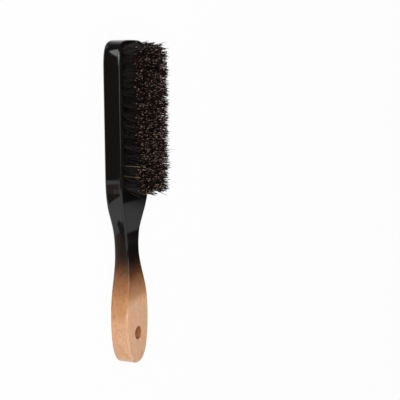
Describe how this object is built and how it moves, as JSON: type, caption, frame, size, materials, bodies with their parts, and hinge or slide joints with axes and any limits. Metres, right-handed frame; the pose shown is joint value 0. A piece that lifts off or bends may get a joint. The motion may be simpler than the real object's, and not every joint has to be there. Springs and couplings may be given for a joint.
{
  "type": "fade brush",
  "caption": "Hair brush with one solid wooden block and handle, a bristle head on one face and a hang hole in the handle's end.",
  "frame": {"origin": "on the flat back face, under the middle of the whole brush", "axes": "+X runs from the handle's end to the head's end, +Y across the brush, +Z the way the bristles point"},
  "size_m": [0.215, 0.0428, 0.028],
  "materials": {
    "beech": "gloss lacquer, black over the head and neck, fading to clear over pale beech on the handle",
    "bristle": "dark brown-black boar bristle with paler split tips",
    "anchor_wire": "plain drawn flat wire"
  },
  "bodies": {
    "root": {"handle_block": "beech", "tuft_rank_1": "bristle", "tuft_rank_2": "bristle", "tuft_rank_3": "bristle", "tuft_rank_4": "bristle", "tuft_rank_5": "bristle", "tuft_rank_6": "bristle", "tuft_rank_7": "bristle", "tuft_rank_8": "bristle", "tuft_rank_9": "bristle", "tuft_rank_10": "bristle", "tuft_rank_11": "bristle", "tuft_rank_12": "bristle", "tuft_rank_13": "bristle", "tuft_rank_14": "bristle", "anchor_rank_1": "anchor_wire", "anchor_rank_2": "anchor_wire", "anchor_rank_3": "anchor_wire", "anchor_rank_4": "anchor_wire", "anchor_rank_5": "anchor_wire", "anchor_rank_6": "anchor_wire", "anchor_rank_7": "anchor_wire", "anchor_rank_8": "anchor_wire", "anchor_rank_9": "anchor_wire", "anchor_rank_10": "anchor_wire", "anchor_rank_11": "anchor_wire", "anchor_rank_12": "anchor_wire", "anchor_rank_13": "anchor_wire", "anchor_rank_14": "anchor_wire"}
  },
  "joints": []
}
